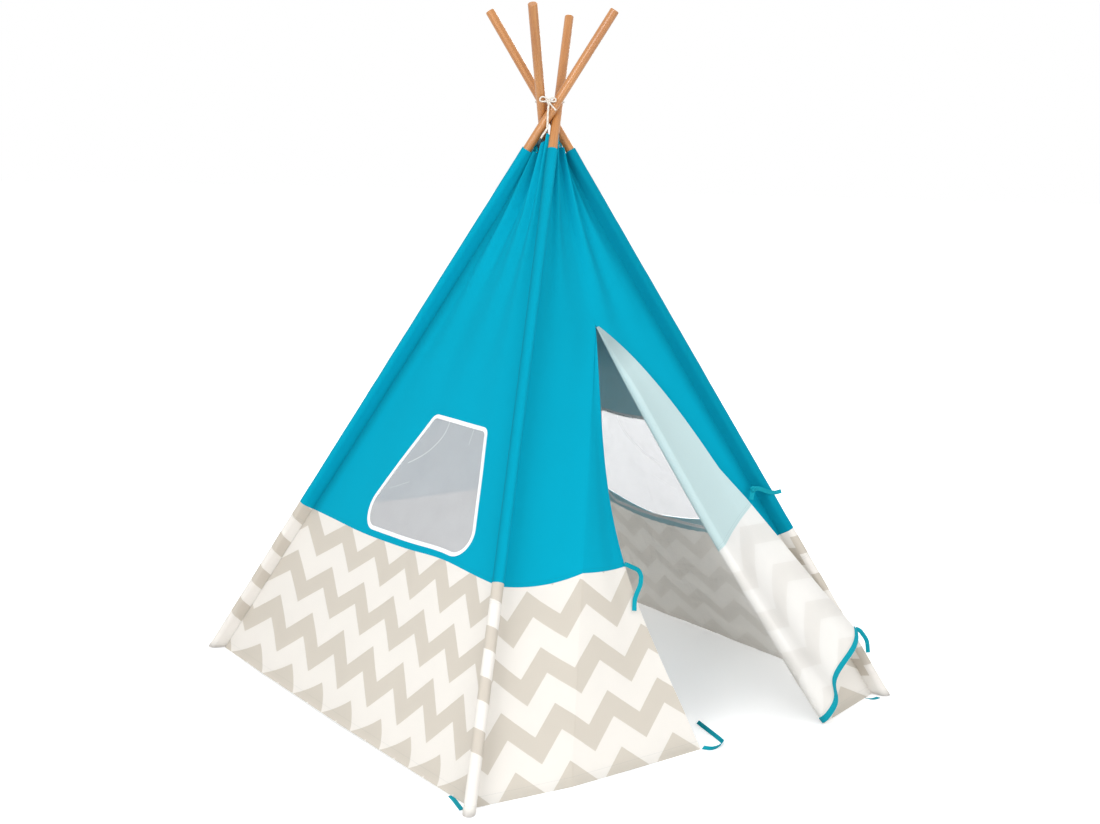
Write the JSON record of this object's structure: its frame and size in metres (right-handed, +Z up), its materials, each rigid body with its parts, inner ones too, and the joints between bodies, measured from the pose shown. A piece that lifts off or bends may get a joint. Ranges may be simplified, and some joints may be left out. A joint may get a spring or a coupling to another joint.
{
  "type": "children's play tent",
  "caption": "Children's play tent on crossed poles lashed near the top, with a plain and zigzag cotton cover, net windows and a parted door with a flap tied back.",
  "frame": {"origin": "on the floor, under the middle of the part's box", "axes": "+Z up along the tent's height, the door wall faces -Y, +X to the right of someone inside looking back from the door"},
  "size_m": [1.2278, 1.2803, 1.6072],
  "materials": {
    "wood": "clear-varnished pine dowel",
    "ferrule_steel": "plain tube",
    "turquoise_cotton": "matte plain weave",
    "printed_cotton": "matte white cotton with a grey-beige zigzag print",
    "white_binding": "white bias tape",
    "window_net": "fine grey net",
    "cotton_rope": "twisted white rope",
    "turquoise_ribbon": "flat woven ribbon"
  },
  "bodies": {
    "cover": {"wall_left_upper": "turquoise_cotton", "wall_left_lower": "printed_cotton", "wall_right_upper": "turquoise_cotton", "wall_right_lower": "printed_cotton", "wall_back_upper": "turquoise_cotton", "wall_back_lower": "printed_cotton", "window_net_left": "window_net", "window_net_right": "window_net", "window_binding_left": "white_binding", "window_binding_right": "white_binding", "lashing_rope": "cotton_rope", "lashing_knot": "cotton_rope", "bow_loop_left": "cotton_rope", "bow_loop_right": "cotton_rope", "rope_tail_long": "cotton_rope", "rope_tail_short": "cotton_rope", "foot_tie_front_left": "turquoise_ribbon"},
    "pole_front_left": {"pole_upper_front_left": "wood", "pole_lower_front_left": "wood", "pole_ferrule_front_left": "ferrule_steel", "sleeve_upper_front_left": "turquoise_cotton", "sleeve_lower_front_left": "printed_cotton", "door_left_upper": "turquoise_cotton", "door_left_lower": "printed_cotton", "tape_door_left": "turquoise_ribbon"},
    "pole_front_right": {"pole_upper_front_right": "wood", "pole_lower_front_right": "wood", "pole_ferrule_front_right": "ferrule_steel", "sleeve_upper_front_right": "turquoise_cotton", "sleeve_lower_front_right": "printed_cotton", "door_right_upper": "turquoise_cotton", "door_right_lower": "printed_cotton", "tape_door_right": "turquoise_ribbon", "foot_tie_front_right": "turquoise_ribbon"},
    "pole_back_right": {"pole_upper_back_right": "wood", "pole_lower_back_right": "wood", "pole_ferrule_back_right": "ferrule_steel", "sleeve_upper_back_right": "turquoise_cotton", "sleeve_lower_back_right": "printed_cotton"},
    "pole_back_left": {"pole_upper_back_left": "wood", "pole_lower_back_left": "wood", "pole_ferrule_back_left": "ferrule_steel", "sleeve_upper_back_left": "turquoise_cotton", "sleeve_lower_back_left": "printed_cotton"},
    "flap_left": {"flap_left_upper": "turquoise_cotton", "flap_left_lower": "printed_cotton", "tape_flap_left": "turquoise_ribbon", "tie_left_middle": "turquoise_ribbon", "tie_left_foot": "turquoise_ribbon"},
    "flap_right": {"flap_right_upper": "turquoise_cotton", "flap_right_lower": "printed_cotton", "tape_flap_right": "turquoise_ribbon", "tie_right_knot": "turquoise_ribbon", "tie_right_middle": "turquoise_ribbon", "tie_right_foot": "turquoise_ribbon"}
  },
  "joints": [
    {"name": "fold_front_left", "type": "hinge", "parent": "cover", "child": "pole_front_left", "pos_m": [0.01218, 0.00782, 1.361], "axis": [0.7071, -0.7071, 0], "range_deg": [0, 20], "deforming": ["lashing_rope", "lashing_knot", "wall_left_upper", "wall_left_lower", "wall_right_upper", "wall_right_lower", "wall_back_upper", "wall_back_lower", "window_net_left", "window_net_right", "window_binding_left", "window_binding_right", "foot_tie_front_left", "bow_loop_left", "bow_loop_right", "door_left_upper", "door_left_lower", "tape_door_left", "flap_left_upper", "flap_left_lower", "tape_flap_left", "tie_left_middle", "tie_left_foot"]},
    {"name": "fold_front_right", "type": "hinge", "parent": "cover", "child": "pole_front_right", "pos_m": [0.01218, 0.03218, 1.361], "axis": [0.7071, 0.7071, 0], "range_deg": [0, 20], "deforming": ["door_right_upper", "door_right_lower", "tape_door_right", "foot_tie_front_right", "flap_right_upper", "flap_right_lower", "tape_flap_right", "tie_right_knot", "tie_right_middle", "tie_right_foot"]},
    {"name": "fold_back_right", "type": "hinge", "parent": "cover", "child": "pole_back_right", "pos_m": [-0.01218, 0.03218, 1.361], "axis": [-0.7071, 0.7071, 0], "range_deg": [0, 20]},
    {"name": "fold_back_left", "type": "hinge", "parent": "cover", "child": "pole_back_left", "pos_m": [-0.01218, 0.00782, 1.361], "axis": [-0.7071, -0.7071, 0], "range_deg": [0, 20]},
    {"name": "swing_left", "type": "hinge", "parent": "pole_front_left", "child": "flap_left", "pos_m": [-0.355, -0.58909, 0.00112], "axis": [0.3463, 0.4027, 0.8473], "range_deg": [-160, 0]},
    {"name": "swing_right", "type": "hinge", "parent": "pole_front_right", "child": "flap_right", "pos_m": [0.338, -0.63, 0.0006], "axis": [-0.3127, 0.4399, 0.8419], "range_deg": [-165, 0]}
  ],
  "couplings": [
    {"joint": "fold_front_right", "follows": "fold_front_left", "ratio": 1},
    {"joint": "fold_back_right", "follows": "fold_front_left", "ratio": 1},
    {"joint": "fold_back_left", "follows": "fold_front_left", "ratio": 1}
  ]
}
